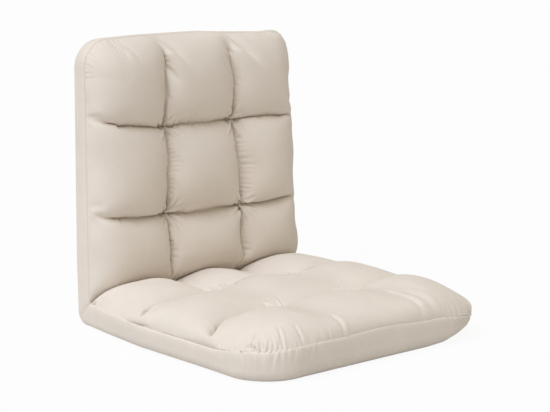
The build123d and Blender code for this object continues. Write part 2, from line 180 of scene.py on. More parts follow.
def normals(p):
    """Normals whose size is the cloth area of one point."""
    du, dv = np.empty_like(p), np.empty_like(p)
    du[:, 1:-1] = p[:, 2:] - p[:, :-2]
    du[:, 0], du[:, -1] = 2 * (p[:, 1] - p[:, 0]), 2 * (p[:, -1] - p[:, -2])
    dv[1:-1] = p[2:] - p[:-2]
    dv[0], dv[-1] = 2 * (p[1] - p[0]), 2 * (p[-1] - p[-2])
    return np.cross(du, dv) / 4


def inflate(p, w, rest, limits, push, steps, shear, bend, passes=2, drag=0.9):
    """Blow the cloth up under an even pressure until it rests in its seams."""
    last = p.copy()
    area = np.sqrt((normals(p) ** 2).sum(-1)).mean()
    for _ in range(steps):
        now = p.copy()
        p += (p - last) * drag * w[..., None]
        p += normals(p) * (push / area) * w[..., None]
        last = now
        for _ in range(passes):
            sweep(p, w, rest, shear)
            stiffen(p, w, bend)
            limits(p)
    return p


# ---------------------------------------------------------------- the quilted tops
STEP = 4.6 * MM                                  # spacing of the cloth points
WAVES = (160, 90, 55)                            # lengths of the waves in which a stitched line strays, mm
CORNER_EASE = 25 * MM                            # the corners' cloth is eased this far past their rounding,
CORNER_SLACK = 1.01                              # to at most this share of the first shape's length
RUFFLE = 0.25 * MM                               # how unevenly the cloth lies before it is blown up
SEAM_GAP = 0.3 * MM                              # half the width of a closed crease
ROW_END = (38, 20)                               # a row's open end at -x: distance from the side, reach, mm
FAR = 9.0                                        # beyond any limit


def stations(points, breaks, step):
    """Points evenly along a section, cell by cell: place, height, cloth length and the cells' ends."""
    points = np.array(points) * MM
    run = np.concatenate([[0], np.cumsum(np.hypot(*np.diff(points, axis=0).T))])
    marks = [run[np.argmin(abs(points[:, 0] - b * MM))] for b in breaks]
    marks[0], marks[-1] = run[0], run[-1]
    s, ends = [np.zeros(1)], []
    for a, b in zip(marks, marks[1:]):
        s.append(np.linspace(a, b, 2 * round((b - a) / step / 2) + 1)[1:])
        ends.append(sum(map(len, s)) - 1)
    s = np.concatenate(s)
    return np.interp(s, run, points[:, 0]), np.interp(s, run, points[:, 1]), s, ends[:-1]


def wander(along, size, seed):
    """How a stitched line strays: a few slow waves."""
    rng = np.random.default_rng(seed)
    out = np.zeros_like(along)
    for wave in WAVES:
        out += np.sin(along / (wave * MM) * 2 * pi + rng.uniform(0, 2 * pi)) * wave / WAVES[0]
    return out * size * MM / 2


def cut_to_fit(run, cuts, full):
    """Give each cell's cloth its own fullness, keeping the first point (or the middle) where it is."""
    ends = [0, *cuts, len(run) - 1]
    gaps = np.diff(run)
    for a, b, k in zip(ends, ends[1:], full):
        gaps[a:b] *= k
    out = np.concatenate([[0], np.cumsum(gaps)])
    return out - out[-1] / 2 if run[0] < 0 else out + run[0]


def plan_seams(spec):
    """Where a panel's cloth points lie, how long its cloth is, and where its columns and rows part."""
    half, length, column, rows = (spec[key] for key in ("half", "length", "column", "rows"))
    x, hx, u, ic = stations(spec["across"], (-mm(half), -column, column, mm(half)), STEP)
    r, hr, v, jc = stations(spec["along"], (0, mm(rows[0]), mm(rows[1]), mm(length)), STEP)
    u = cut_to_fit(u - u[-1] / 2, ic, spec["full"][0])
    v = cut_to_fit(v, jc, spec["full"][1])
    col_line = [np.interp(mm(r), *side) * MM + wander(r, spec["stray"][0], spec["seed"] + n)
                for n, side in enumerate(spec["columns_at"])]
    row_line = [c + np.interp(mm(x), *rise) * MM + wander(x, spec["stray"][1], spec["seed"] + 5 + n)
                for n, (c, rise) in enumerate(zip(rows, spec["rows_rise"]))]
    return SimpleNamespace(x=x, hx=hx, u=u, ic=ic, r=r, hr=hr, v=v, jc=jc, col_line=col_line, row_line=row_line)


def first_shape(spec, plan):
    """Domes between the seams, and the cut pattern's lengths: each cell's cloth suits its size."""
    half, length, rows = spec["half"], spec["length"], spec["rows"]
    column = spec["column"] * MM
    u, v, ic = plan.u, plan.v, plan.ic
    grid_x, pr = np.meshgrid(plan.x, plan.r)
    radius = np.where(grid_x < 0, *spec["corners"])
    edge = half_width(half, pr)

    # across: the columns' lines stray, so the outer and the middle cells are stretched to meet them
    left, right = (line[:, None] for line in plan.col_line)
    side = np.clip(np.abs(grid_x) - column, 0, None) / (half - column)
    middle = (grid_x + column) / (2 * column)
    px = np.where(grid_x < -column, left - side * (edge + left),
                  np.where(grid_x > column, right + side * (edge - right), left + middle * (right - left)))
    slack_out = (u[-1] - u[ic[1]]) / (half - column)
    slack_mid = (u[ic[1]] - u[ic[0]]) / (2 * column)
    half_mid = slack_mid * (right - left) / 2
    step_out = np.clip(np.abs(u) - u[ic[1]], 0, None)[None, :] / (u[-1] - u[ic[1]])
    qx = np.where(u[None, :] < u[ic[0]], -half_mid - step_out * slack_out * (edge + left),
                  np.where(u[None, :] > u[ic[1]], half_mid + step_out * slack_out * (edge - right),
                           u[None, :] / u[ic[1]] * half_mid))

    # along: the rows' lines drift
    shift = [line - c for line, c in zip(plan.row_line, rows)]
    knots = np.array([0, rows[0], rows[1], length])
    moved = np.stack([np.zeros_like(plan.x), shift[0], shift[1], np.zeros_like(plan.x)])
    k = np.clip(np.searchsorted(knots, plan.r, side="right") - 1, 0, 2)
    f = ((plan.r - knots[k]) / (knots[k + 1] - knots[k]))[:, None]
    drift = moved[k] * (1 - f) + moved[k + 1] * f
    pr = pr + drift
    qx, qr = round_corners(qx, v[:, None] + drift, u[-1], v[-1], radius + (u[-1] - half) * spec["gather"])
    rest = lengths(np.stack([qx, qr, np.zeros_like(qx)], axis=-1))

    # up: the two sections' product, over a seam that isn't level
    height = plan.hx[None, :] * plan.hr[:, None] / spec["rise"] / MM
    px, pr = round_corners(px, pr, half, length, radius)
    seam = np.interp(mm(plan.r), *spec["seam_drop"])[:, None] * MM * smooth(np.abs(px), edge * 0.9, edge)
    seam = seam - spec["rises"] * front_rise(px, pr)
    p = np.stack([px, pr, SLAB - seam + height], axis=-1)
    corner = (np.abs(px) > half - radius - CORNER_EASE) & (pr > length - radius - CORNER_EASE)
    masks = (corner[:, 1:], corner[1:], corner[1:, 1:], corner[1:, 1:])
    rest = [np.where(mask, np.minimum(size, dome * CORNER_SLACK), size)
            for size, dome, mask in zip(rest, lengths(p), masks)]
    rng = np.random.default_rng(spec["seed"])
    p[1:-1, 1:-1] += rng.normal(0, RUFFLE, p[1:-1, 1:-1].shape)
    return p, rest, edge, SLAB - seam


def opening(spec, run, cuts, ends=0):
    """Half the width of a crease: pillows don't quite meet at the tufts, nor at the rows' ends at -x."""
    size, reach = spec["open"][:2]
    near = sum(np.exp(-((run - run[k]) / (reach * MM)) ** 2) for k in cuts)
    end = np.exp(-((mm(run - run[0]) - ROW_END[0]) / ROW_END[1]) ** 2)
    return SEAM_GAP + (size * near + ends * end) * MM


def crease(spec, run, cuts, tufts, levels):
    """Highest t along a seam line: low at the tufts, higher in the cells between."""
    first, second = run[cuts[0]], run[cuts[1]]
    at = np.array([run[0], (run[0] + first) / 2, first, (first + second) / 2, second,
                   (second + run[-1]) / 2, run[-1]])
    values = np.array([levels[0], levels[1], tufts[0], levels[2], tufts[1], levels[3], levels[4]]) * MM
    k = np.clip(np.searchsorted(at, run, side="right") - 1, 0, 5)
    f = (run - at[k]) / (at[k + 1] - at[k])
    from_low = 1 - (1 - f) ** spec["dip"]
    to_low = f ** spec["dip"]
    f = np.where(k % 2 == 0, from_low, to_low)
    return values[k] * (1 - f) + values[k + 1] * f


def seam_limits(spec, plan):
    """Cloth can't rise above its stitches, and pillows meet there: limits across, along and upwards."""
    shape = (len(plan.r), len(plan.x))
    jj, ii = np.meshgrid(*map(np.arange, shape), indexing="ij")
    lo_x, hi_x, lo_r, hi_r, top = (np.full(shape, far) for far in (-FAR, FAR, -FAR, FAR, FAR))
    for i, line in zip(plan.ic, plan.col_line):
        c = np.broadcast_to(line[:, None], shape)
        apart = opening(spec, plan.v, plan.jc)[:, None]
        hi_x = np.where(ii < i, np.minimum(hi_x, c - apart), hi_x)
        lo_x = np.where(ii > i, np.maximum(lo_x, c + apart), lo_x)
        lo_x[:, i] = line - SEAM_GAP
        hi_x[:, i] = line + SEAM_GAP
    for n, (j, line) in enumerate(zip(plan.jc, plan.row_line)):
        c = np.broadcast_to(line[None, :], shape)
        apart = opening(spec, plan.u, plan.ic, spec["open"][2][n])[None, :]
        hi_r = np.where(jj < j, np.minimum(hi_r, c - apart), hi_r)
        lo_r = np.where(jj > j, np.maximum(lo_r, c + apart), lo_r)
        lo_r[j] = line - SEAM_GAP
        hi_r[j] = line + SEAM_GAP
    for n, i in enumerate(plan.ic):
        tufts = [spec["tufts"][m][n] for m in (0, 1)]
        top[:, i] = crease(spec, plan.v, plan.jc, tufts, spec["column_top"])
    for m, j in enumerate(plan.jc):
        top[j] = np.minimum(top[j], crease(spec, plan.u, plan.ic, spec["tufts"][m], spec["row_top"][m]))
    return lo_x, hi_x, lo_r, hi_r, top


def level_crowns(p, spec, columns, rows):
    """Scale the pillows so that each one's crown stands at its own height."""
    ends_i, ends_j = [0, *columns, p.shape[1] - 1], [0, *rows, p.shape[0] - 1]
    crowns = np.array([[p[a:b, c:d, 2].max() for c, d in zip(ends_i, ends_i[1:])]
                       for a, b in zip(ends_j, ends_j[1:])])
    ratio = (np.array(spec["crowns"]) * MM - SLAB) / (crowns - SLAB)
    mid_i, mid_j = ([(a + b) / 2 for a, b in zip(ends, ends[1:])] for ends in (ends_i, ends_j))
    by_row = np.array([np.interp(np.arange(p.shape[1]), mid_i, line) for line in ratio])
    scale = np.array([np.interp(np.arange(p.shape[0]), mid_j, line) for line in by_row.T]).T
    p[..., 2] = SLAB + (p[..., 2] - SLAB) * np.where(p[..., 2] > SLAB, scale, 1)


def make_quilt(spec):
    """Cut, pin and inflate one panel's top. Returns the grid of points in the panel's frame."""
    half, length = spec["half"], spec["length"]
    plan = plan_seams(spec)
    ic, jc = plan.ic, plan.jc
    p, rest, edge, floor_t = first_shape(spec, plan)
    lo_x, hi_x, lo_r, hi_r, top = seam_limits(spec, plan)

    # what is sewn down
    w = np.ones(p.shape[:2])
    w[0] = w[-1] = 0
    w[:, 0] = w[:, -1] = 0
    for a, j in enumerate(jc):
        for b, i in enumerate(ic):
            w[j, i] = 0
            p[j, i] = (plan.col_line[b][j], plan.row_line[a][i], spec["tufts"][a][b] * MM)
    free = w > 0
    lo_x, lo_r, floor_t = (np.where(free, low, -FAR) for low in (lo_x, lo_r, floor_t))
    hi_x, hi_r, top = (np.where(free, high, FAR) for high in (hi_x, hi_r, top))
    bulge = spec["bulge"] * MM
    wide = np.where(free, edge + bulge, FAR)

    def limits(q):
        """Within the seams, over the slab, and on this panel's side of the fold."""
        np.clip(q[..., 0], np.maximum(lo_x, -wide), np.minimum(hi_x, wide), out=q[..., 0])
        np.clip(q[..., 1], lo_r, np.minimum(hi_r, length + bulge), out=q[..., 1])
        np.clip(q[..., 2], floor_t, top, out=q[..., 2])
        over = np.clip(q[..., 2] - q[..., 1] + 2 * SEAM_GAP, 0, None) / 2 * free
        q[..., 2] -= over
        q[..., 1] += over

    steps = spec["steps"] // 1
    inflate(p, w, rest, limits, spec["push"] * MM, steps, spec["shear"], spec["bend"])
    level_crowns(p, spec, ic, jc)
    limits(p)
    p = soften_columns(p, ic, jc) if spec["soften"] else calm_ends(p, jc, ic, half, length)
    spec["tuft_places"] = [(p[j, i, 0], p[j, i, 1]) for j in jc for i in ic]
    spec["seam_rows"] = jc
    return p


def soften_columns(p, columns, rows):
    """Between tufts the column seams only dent the cloth: spread them sideways, less near tufts and the fold."""
    passes, reach, ease = 70, 11, 6              # rounds, and how many points either side, and their fading
    tuft_reach, crisp = 13 * MM, 0.06            # sharp this near a tuft; share of softening near the fold
    i = np.arange(p.shape[1])[None, :]
    r = p[:, p.shape[1] // 2, 1][:, None]
    weight = np.zeros(p.shape[:2])
    for c in columns:
        weight = np.maximum(weight, smooth(reach - np.abs(i - c), 0, ease))
    for k in rows:
        weight = weight * (1 - np.exp(-((r - r[k]) / tuft_reach) ** 2))
    weight = weight * (crisp + (1 - crisp) * smooth(r, 125 * MM, 215 * MM)) * smooth(r, 24 * MM, 50 * MM)
    for _ in range(passes):
        p[:, 1:-1] += (0.5 * (p[:, :-2] + p[:, 2:]) - p[:, 1:-1]) * (0.5 * weight[:, 1:-1, None])
    return p


def calm_ends(p, rows, columns, half, length):
    """Where the seams run out at the edges, and in the fold's corners, the cloth lies calmly."""
    passes, strength, row_share = 22, 0.6, 0.6
    row_reach, column_reach = 24 * MM, 30 * MM   # either side of a seam
    x, r = p[..., 0], p[..., 1]
    weight = smooth(np.abs(x), half - 42 * MM, half - 20 * MM) * (1 - smooth(r, 60 * MM, 105 * MM))
    for k in rows:
        near = row_share * smooth(np.abs(x), half - 42 * MM, half - 22 * MM)
        weight = np.maximum(weight, near * np.exp(-((r - p[k, :, 1]) / row_reach) ** 2))
    for k in columns:
        near = smooth(r, length - 34 * MM, length - 14 * MM)
        weight = np.maximum(weight, near * np.exp(-((x - p[:, k, 0][:, None]) / column_reach) ** 2))
    weight = weight[1:-1, 1:-1, None] * strength
    for _ in range(passes):
        around = (p[1:-1, :-2] + p[1:-1, 2:] + p[:-2, 1:-1] + p[2:, 1:-1]) / 4
        p[1:-1, 1:-1] += (around - p[1:-1, 1:-1]) * weight
    return p


# ---------------------------------------------------------------- folds, pleats and puckers in the cloth
TUFT_REACH = 36 * MM                             # the cloth has more points this near a tuft
# pleats: width in mm; reach, depth and step as shares of what the row of pleats gives
PLEAT = dict(width=(1.5, 2.8), reach=(0.5, 1.25), slant=(-0.35, 0.35), depth=(0.35, 1.0), step=(0.6, 1.6),
             lip=0.45, beside=2.2, fade=0.7)
# puckers, mm and degrees: across the rows' seams at the seat's tufts, and all round the back's
ACROSS = dict(count=6, spread=(-26, 26), width=(2.0, 3.4), slant=(-0.4, 0.4), length=(12, 22), centre=(-8, 2),
              size=(2.4, 3.8), rear_shift=8, rear_more=0.6)
ROUND = dict(directions=(-150, -110, -65, -42, -20, 25, 50, 75, 118, 155), stray=(-8, 8), width=(2.4, 3.8),
             reach=(24, 46), size=(2.6, 4.6), clear=(2, 7))


def refine(p, pieces):
    """More points along the first axis, on a smooth curve through the old ones."""
    at = np.concatenate([i + np.arange(n) / n for i, n in enumerate(pieces)] + [[len(p) - 1]])
    i = np.minimum(at.astype(int), len(p) - 2)
    f = (at - i)[:, None, None]
    a, b, c, d = (p[np.clip(i + k, 0, len(p) - 1)] for k in (-1, 0, 1, 2))
    return b + f / 2 * (c - a + f * (2 * a - 5 * b + 4 * c - d + f * (3 * (b - c) + d - a)))


def finer(p, spec):
    """Twice the points, and four times at the tufts and where the cover is gathered."""
    middle_x, middle_r = p[len(p) // 2, :, 0], p[:, p.shape[1] // 2, 1]
    side, outer = (spec["half"] - spec["fine"] * MM, spec["length"] - spec["fine"] * MM)
    tufts_x, tufts_r = (np.array([place[k] for place in spec["tuft_places"]]) for k in (0, 1))
    mid_x, mid_r = (middle_x[:-1] + middle_x[1:]) / 2, (middle_r[:-1] + middle_r[1:]) / 2
    near_x = np.abs(mid_x[:, None] - tufts_x).min(1) < TUFT_REACH
    near_r = np.abs(mid_r[:, None] - tufts_r).min(1) < TUFT_REACH
    cols = np.where((np.abs(mid_x) > side) | near_x, 4, 2)
    rows = np.where((mid_r > outer) | near_r, 4, 2)
    spec["crease_rows"] = [rows[:j].sum() for j in spec["seam_rows"]]
    return refine(refine(p, rows).swapaxes(0, 1), cols).swapaxes(0, 1)


def raise_by(p, height):
    """Move the cloth along its own normals."""
    n = normals(p)
    return p + n / (np.sqrt((n * n).sum(-1, keepdims=True)) + 1e-12) * height[..., None]


def edge_place(x, r, half, length, radius):
    """Where a point lies along an outer corner's seam, 0 where the side starts to turn, and how far in."""
    over_x, over_r = np.abs(x) - (half - radius), r - (length - radius)
    turn = np.arctan2(np.clip(over_r, 0, None), np.clip(over_x, 1e-6, None)) * radius
    along = np.where(over_r < 0, over_r, np.where(over_x < 0, radius * pi / 2 - over_x, turn))
    inward = np.where(over_r < 0, half - np.abs(x),
                      np.where(over_x < 0, length - r, radius - np.hypot(over_x, over_r)))
    return along, np.clip(inward, 0, None)


def groove(off, lip, beside):
    """A fold's section: 1 in its middle, with a lip the other way on one side."""
    return np.exp(-off * off) - lip * np.exp(-((off - beside) ** 2))


def pleats(along, away, seed, rows, reach):
    """Small stitched-in pleats: rows of (first place, last place, spacing, depth), in mm."""
    rng = np.random.default_rng(seed)
    height = np.zeros_like(along)
    for first, last, spacing, depth in rows:
        at = first
        while at < last:
            wide, long = rng.uniform(*PLEAT["width"]) * MM, rng.uniform(*PLEAT["reach"]) * reach * MM
            slant, size = rng.uniform(*PLEAT["slant"]), rng.uniform(*PLEAT["depth"]) * depth * MM
            off = (along - at * MM - slant * away) / wide
            fade = np.clip(1 - away / long, 0, 1) ** PLEAT["fade"]
            height -= size * groove(off, PLEAT["lip"], PLEAT["beside"]) * fade
            at += spacing * rng.uniform(*PLEAT["step"])
    return height


def gather_corners(p, spec):
    """Pleats up from the seam, round both outer corners."""
    for n, side in enumerate((-1, 1)):
        along, inward = edge_place(p[..., 0], p[..., 1], spec["half"], spec["length"], spec["corners"][n])
        away = np.hypot(inward, p[..., 2] - SLAB)
        height = pleats(along, away, spec["seed"] + 20 + n, spec["pleats"][n], spec["pleat_reach"])
        height *= smooth(away, 0, 3 * MM) * (p[..., 0] * side > 0)
        p = raise_by(p, height)
    return p


def folds_across(dx, dr, r, rng):
    """Short folds side by side across a row's seam. At the rear row they are larger and lie further back."""
    rear = 1 - smooth(r, 220 * MM, 330 * MM)
    for _ in range(ACROSS["count"]):
        at, wide = rng.uniform(*ACROSS["spread"]) * MM, rng.uniform(*ACROSS["width"]) * MM
        slant, long = rng.uniform(*ACROSS["slant"]), rng.uniform(*ACROSS["length"]) * MM
        off = (dx - at - slant * dr) / wide
        ridge = groove(off, 0.7, 2) - 0.3 * np.exp(-((off + 2) ** 2))
        centre = (rng.uniform(*ACROSS["centre"]) - ACROSS["rear_shift"] * rear) * MM
        size = rng.uniform(*ACROSS["size"]) * (1 + ACROSS["rear_more"] * rear) * MM
        yield size * ridge * np.exp(-((dr - centre) / long) ** 2)


def folds_round(dx, dr, r, rng):
    """Folds that run out from a tuft."""
    away, angle = np.hypot(dx, dr), np.arctan2(dr, dx)
    for direction in ROUND["directions"]:
        aim = radians(direction + rng.uniform(*ROUND["stray"]))
        off = (angle - aim + pi) % (2 * pi) - pi
        across = away * np.sin(np.clip(off, -pi / 2, pi / 2)) / (rng.uniform(*ROUND["width"]) * MM)
        reach = rng.uniform(*ROUND["reach"]) * MM
        start, full = ROUND["clear"]
        fade = smooth(away, start * MM, full * MM) * (1 - smooth(away, reach * 0.3, reach))
        yield rng.uniform(*ROUND["size"]) * MM * groove(across, 0.8, 1.9) * fade * (np.abs(off) < pi / 2)


def pucker(p, spec):
    """Folds that the tufts pull into the cloth."""
    rng = np.random.default_rng(spec["seed"] + 40)
    height = np.zeros(p.shape[:2])
    folds = folds_across if spec["pucker"] == "across" else folds_round
    for x, r in spec["tuft_places"]:
        for fold in folds(p[..., 0] - x, p[..., 1] - r, r, rng):
            height += fold
    return raise_by(p, height)


def dimple_ends(p, spec):
    """Where a row's seam runs out near -x the cloth folds in, with a lip on the front pillow."""
    front_wall, rear_wall = 4, 8                 # how far the walls reach, mm
    lip, lip_at, lip_reach = 0.4, 9, 6           # its share of the depth, its middle and its reach, mm
    p = p.copy()
    for j in spec["crease_rows"]:
        dr = mm(p[..., 1] - p[j, :, 1])
        depth = np.interp(-mm(p[..., 0]), *spec["dimples"])
        wall = np.where(dr > 0, np.exp(-dr / front_wall), np.exp(dr / rear_wall))
        p = raise_by(p, depth * MM * (lip * np.exp(-((dr - lip_at) / lip_reach) ** 2) - wall))
    return p


def lay_folds(p, spec):
    """Soft folds pressed in along straight lines: (x, r) to (x, r), depth and half width, in mm."""
    height = np.zeros(p.shape[:2])
    for x0, r0, x1, r1, depth, wide in spec["folds"]:
        dx, dr = mm(p[..., 0]) - x0, mm(p[..., 1]) - r0
        long = np.hypot(x1 - x0, r1 - r0)
        f = (dx * (x1 - x0) + dr * (r1 - r0)) / long**2
        off = (dx * (r1 - r0) - dr * (x1 - x0)) / long / wide
        height -= depth * MM * groove(off, 0.5, 2) * smooth(f, -0.15, 0.3) * (1 - smooth(f, 0.8, 1.15))
    return raise_by(p, height)


def settle_seat(p):
    """The stuffing has left the front corner at +x: it has sunk, and swelled over the seam."""
    sink, out, belly, forward = 0.2, 4.5, 3, 3   # a share of the height, then mm
    belly_height = 9 * MM
    corner = smooth(p[..., 0], 130 * MM, 250 * MM) * smooth(p[..., 1], 400 * MM, 520 * MM)
    swell = smooth(p[..., 0], 140 * MM, 265 * MM) * smooth(p[..., 1], 360 * MM, 470 * MM)
    p = p.copy()
    p[..., 2] -= sink * corner * np.clip(p[..., 2] - SLAB, 0, None)
    h = np.clip(p[..., 2] - SLAB, 0, None) / belly_height
    p[..., 0] += (out + belly * h * np.exp(1 - h)) * MM * swell
    p[..., 1] += forward * MM * swell
    return p


DRAWN_IN = ((80, 154, 250, 326, 400, 499), (0, 8, 8, 13, 16, 19))                  # at r, of the side at +x
DRAWN_BY_T = ((-23, 10, 23), (0.35, 0.45, 1))                                      # less over the hidden tube
SUNK = ((-245, -190, -130, 6, 60, 95, 130, 165, 200, 245), (2, 2, 0, 0, 3.5, 5.5, 7, 9, 8, 8))    # at x


def settle_back(p):
    """The top corner at +x is slack: it has sunk a little and drawn in."""
    p = p.copy()
    x, r, t = (mm(p[..., k]) for k in (0, 1, 2))
    drawn = np.interp(r, *DRAWN_IN) * np.clip(x / mm(BACK_HALF), 0, 1) ** 2 * np.interp(t, *DRAWN_BY_T)
    p[..., 0] -= drawn * MM
    p[..., 1] -= np.interp(x, *SUNK) * MM * smooth(r, 380, 499)
    return p


def quilt_object(spec, settle, place):
    """A closed form: the cloth grid, and a flat underside."""
    p = make_quilt(spec)
    p = finer(p, spec)
    p = gather_corners(pucker(lay_folds(dimple_ends(p, spec), spec), spec), spec)
    p = settle(p)
    rows, cols = p.shape[:2]
    verts = place(p).reshape(-1, 3)
    faces = [(j * cols + i, j * cols + i + 1, (j + 1) * cols + i + 1, (j + 1) * cols + i)
             for j in range(rows - 1) for i in range(cols - 1)]
    ring = [j * cols + i for j, i in grid_ring(rows, cols)]
    faces.append(tuple(reversed(ring)))
    return make_object(spec["name"], verts, faces)


def mirrored(half):
    """A section across, from its points at -x up to the middle."""
    return half + [(-x, height) for x, height in reversed(half[:-1])]


# Both panels in mm, x across and r outwards: sections of the first shape (across, along), where the seams
# run (columns_at, rows_rise), how long each cell's cloth is against the section (full), and heights t of
# tufts, creases (column_top, row_top: end, outer cell, middle, outer cell, end) and crowns (by rows).
SEAT = dict(
    name="seat_quilt", half=SEAT_HALF, length=SEAT_LENGTH, corners=SEAT_CORNERS, column=90, rows=SEAT_ROWS, rise=55,
    across=mirrored([(-270, 0), (-268, 10), (-260, 23), (-246, 34), (-224, 43), (-190, 51), (-150, 54), (-115, 49),
                     (-90, 38), (-62, 49), (0, 54)]),
    along=[(24, 0), (42, 18), (58, 33), (80, 44), (115, 48), (160, 46), (mm(SEAT_ROWS[0]), 40), (228, 47), (275, 50),
           (322, 48), (mm(SEAT_ROWS[1]), 41), (390, 50), (440, 54), (488, 53), (507, 48), (519, 38), (526, 24),
           (530, 8), (530, 0)],
    columns_at=(((0, 110, 196, 355, 530), (-92, -90, -82, -96, -100)),
                ((0, 110, 196, 355, 530), (76, 77, 81, 94, 98))),
    rows_rise=(((-270, -180, -90, 90, 180, 270), (14, 4, 0, 0, -9, -28)),
               ((-270, -180, -90, 90, 180, 270), (42, 14, 0, 0, -13, -40))),
    seam_drop=((0, 24, 100, 150, 260, 530), (10, 10, 8, 7, 0, 0)), stray=(3, 2), rises=1,
    full=((1.005, 0.955, 0.985), (0.985, 0.985, 0.995)), gather=0.6, tufts=((46, 46), (46, 46)),
    column_top=(26, 34, 66, 69, 60), row_top=((30, 50, 60, 60, 52), (34, 53, 58, 60, 52)),
    crowns=((70, 78, 73), (74, 75, 74), (77, 77, 79)),
    dip=2.0, push=0.015, bend=0.02, shear=0.25, bulge=3, steps=400, seed=11, fine=120, pucker="across",
    dimples=((0, 85, 120, 190, 215, 235, 250, 262, 269), (2.0, 2.5, 1.5, 3, 8, 16, 14, 5, 0)),
    pleats=(((-60, 200, 7.5, 1.4), (20, 95, 6.5, 1.7)), ((-20, 190, 8, 0.9), (30, 110, 7, 0.5))), pleat_reach=32,
    open=(1.5, 10, (6, 5)), soften=True,
    folds=((86, 440, 92, 528, 2.2, 6), (104, 465, 122, 528, 1.4, 7), (-92, 497, -92, 530, 2.2, 4),
           (-243, 474, -261, 484, 2.2, 2), (-236, 480, -255, 492, 1.8, 2), (-209, 498, -218, 523, 2.4, 2.2),
           (-262, 452, -269, 456, 1.5, 2), (-180, 505, -182, 528, 1.6, 2.5)))
BACK = dict(
    name="back_quilt", half=BACK_HALF, length=BACK_LENGTH, corners=BACK_CORNERS, column=81.7, rows=BACK_ROWS,
    across=mirrored([(-245, 0), (-243, 9), (-236, 20), (-222, 33), (-203, 44), (-175, 51), (-145, 54), (-115, 52),
                     (-98, 47), (-88, 38), (-81.7, 20), (-75, 38), (-64, 47), (-46, 52), (0, 55)]),
    along=[(24, 0), (42, 18), (58, 33), (80, 44), (105, 50), (138, 50), (156, 43), (mm(BACK_ROWS[0]), 16), (182, 43),
           (198, 51), (250, 55), (306, 51), (321, 43), (mm(BACK_ROWS[1]), 16), (346, 43), (362, 51), (405, 54),
           (445, 50), (470, 41), (488, 28), (497, 13), (499, 0)],
    columns_at=(((0, 340, 415, 450, 472, 499), (-83, -83, -84, -88, -95, -112)),
                ((0, 169, 333, 400, 440, 470, 499), (84, 86, 79, 75, 70, 65, 56))),
    rows_rise=(((-245, -190, -82, 82, 245), (16, 9, 0, 0, 5)),
               ((-245, -224, -190, -82, 82, 245), (28, 20, 11, 0, 0, 0))),
    seam_drop=((0, 499), (0, 0)), stray=(3, 2), rise=55, rises=0,
    full=((0.98, 0.95, 0.98), (0.97, 0.97, 0.98)), gather=0.6, tufts=((24, 42), (24, 24)),
    column_top=(44, 48, 50, 50, 40), row_top=((30, 46, 42, 50, 50),) * 2,
    crowns=((76, 80, 80), (79, 82, 80), (76, 78, 77)),
    dip=2.5, push=0.015, bend=0.02, shear=0.25, bulge=2, steps=400, seed=12, fine=70, pucker="round",
    dimples=((0, 245), (0, 0)), pleats=(((-30, 110, 9, 1.1),),) * 2, pleat_reach=20,
    open=(2.2, 9, (0, 0)), soften=False, folds=())

seat_quilt = quilt_object(SEAT, settle_seat, to_seat)
back_quilt = quilt_object(BACK, settle_back, to_back)

# ---------------------------------------------------------------- the boxed cover under the quilting
FOLD = 60 * MM                                   # the corner of the fold takes this much of each panel
TOP_LINE = np.array([(-60, 23), (-23, 23), (-23, 60)]) * MM
LOW_LINE = np.array([(-60, -23), (-30, -23), (-6, -23), (5, -22.3), (14, -18.6), (19.5, -12), (21.8, -3), (21.8, 12),
                     (21.8, 36), (22.3, 60)]) * MM
LOW_EDGE = ((-196, -80, 0, 80, 480), (22, 14, 14, 13, 20))     # radius of the band's lower edge, along the strip
SEAM_INSET = 2.5 * MM                            # how far in the seam is drawn
GROOVE, GROOVE_END, BULGE = 2.4, 0.12, 2.2       # the band under it: depth, share of the height, bulge, mm
BAND_PLEATS = (((-40, 190, 8, 1.3), (30, 100, 9, 2.0)), ((-20, 180, 9, 0.9), (30, 100, 11, 1.0)))
BACK_PLEATS = ((-30, 110, 10, 0.7),)


def along_line(line, f):
    run = np.concatenate([[0], np.cumsum(np.hypot(*np.diff(line, axis=0).T))])
    return np.stack([np.interp(f * run[-1], run, line[:, k]) for k in (0, 1)], axis=-1)


def strip_point(x, s, depth):
    """A point of the boxed strip: x across, s along it (seat below 0, back above), depth 0 top to 1 under."""
    f = np.clip((s + FOLD) / (2 * FOLD), 0, 1)
    top, low = along_line(TOP_LINE, f), along_line(LOW_LINE, f)
    beyond_seat, beyond_back = np.minimum(s + FOLD, 0), np.maximum(s - FOLD, 0)
    for line in (top, low):
        line[..., 0] += beyond_seat
        line[..., 1] += beyond_back
    low[..., 0] += 1.2 * MM * np.clip(beyond_back / (60 * MM), 0, 1)
    yz = top + (low - top) * depth[..., None]
    return np.stack([x, HINGE_Y + yz[..., 0], HINGE_Z + yz[..., 1]], axis=-1)


def strip_plan(a, s, inset):
    """Plan place of a point of the strip, a from -1 to 1 across, with its outer corners rounded."""
    half = np.where(s < 0, half_width(SEAT_HALF, -s), BACK_HALF) - inset
    s = np.where(s < 0, s * (SEAT_LENGTH - inset) / SEAT_LENGTH, s * (BACK_LENGTH - inset) / BACK_LENGTH)
    x = a * half
    sx, sr = round_corners(x, -s, half, SEAT_LENGTH - inset, np.where(a < 0, *SEAT_CORNERS) - inset * 0.5)
    bx, br = round_corners(x, s, half, BACK_LENGTH - inset, np.where(a < 0, *BACK_CORNERS) - inset * 0.5)
    return np.where(s < 0, sx, bx), np.where(s < 0, -sr, br)


def spaced(*runs):
    """Stations from run to run: (start, end, spacing)."""
    out = [np.linspace(a, b, max(2, round(abs(b - a) / (c * MM)) + 1))[:-1] for a, b, c in runs]
    return np.concatenate(out + [[runs[-1][1]]])


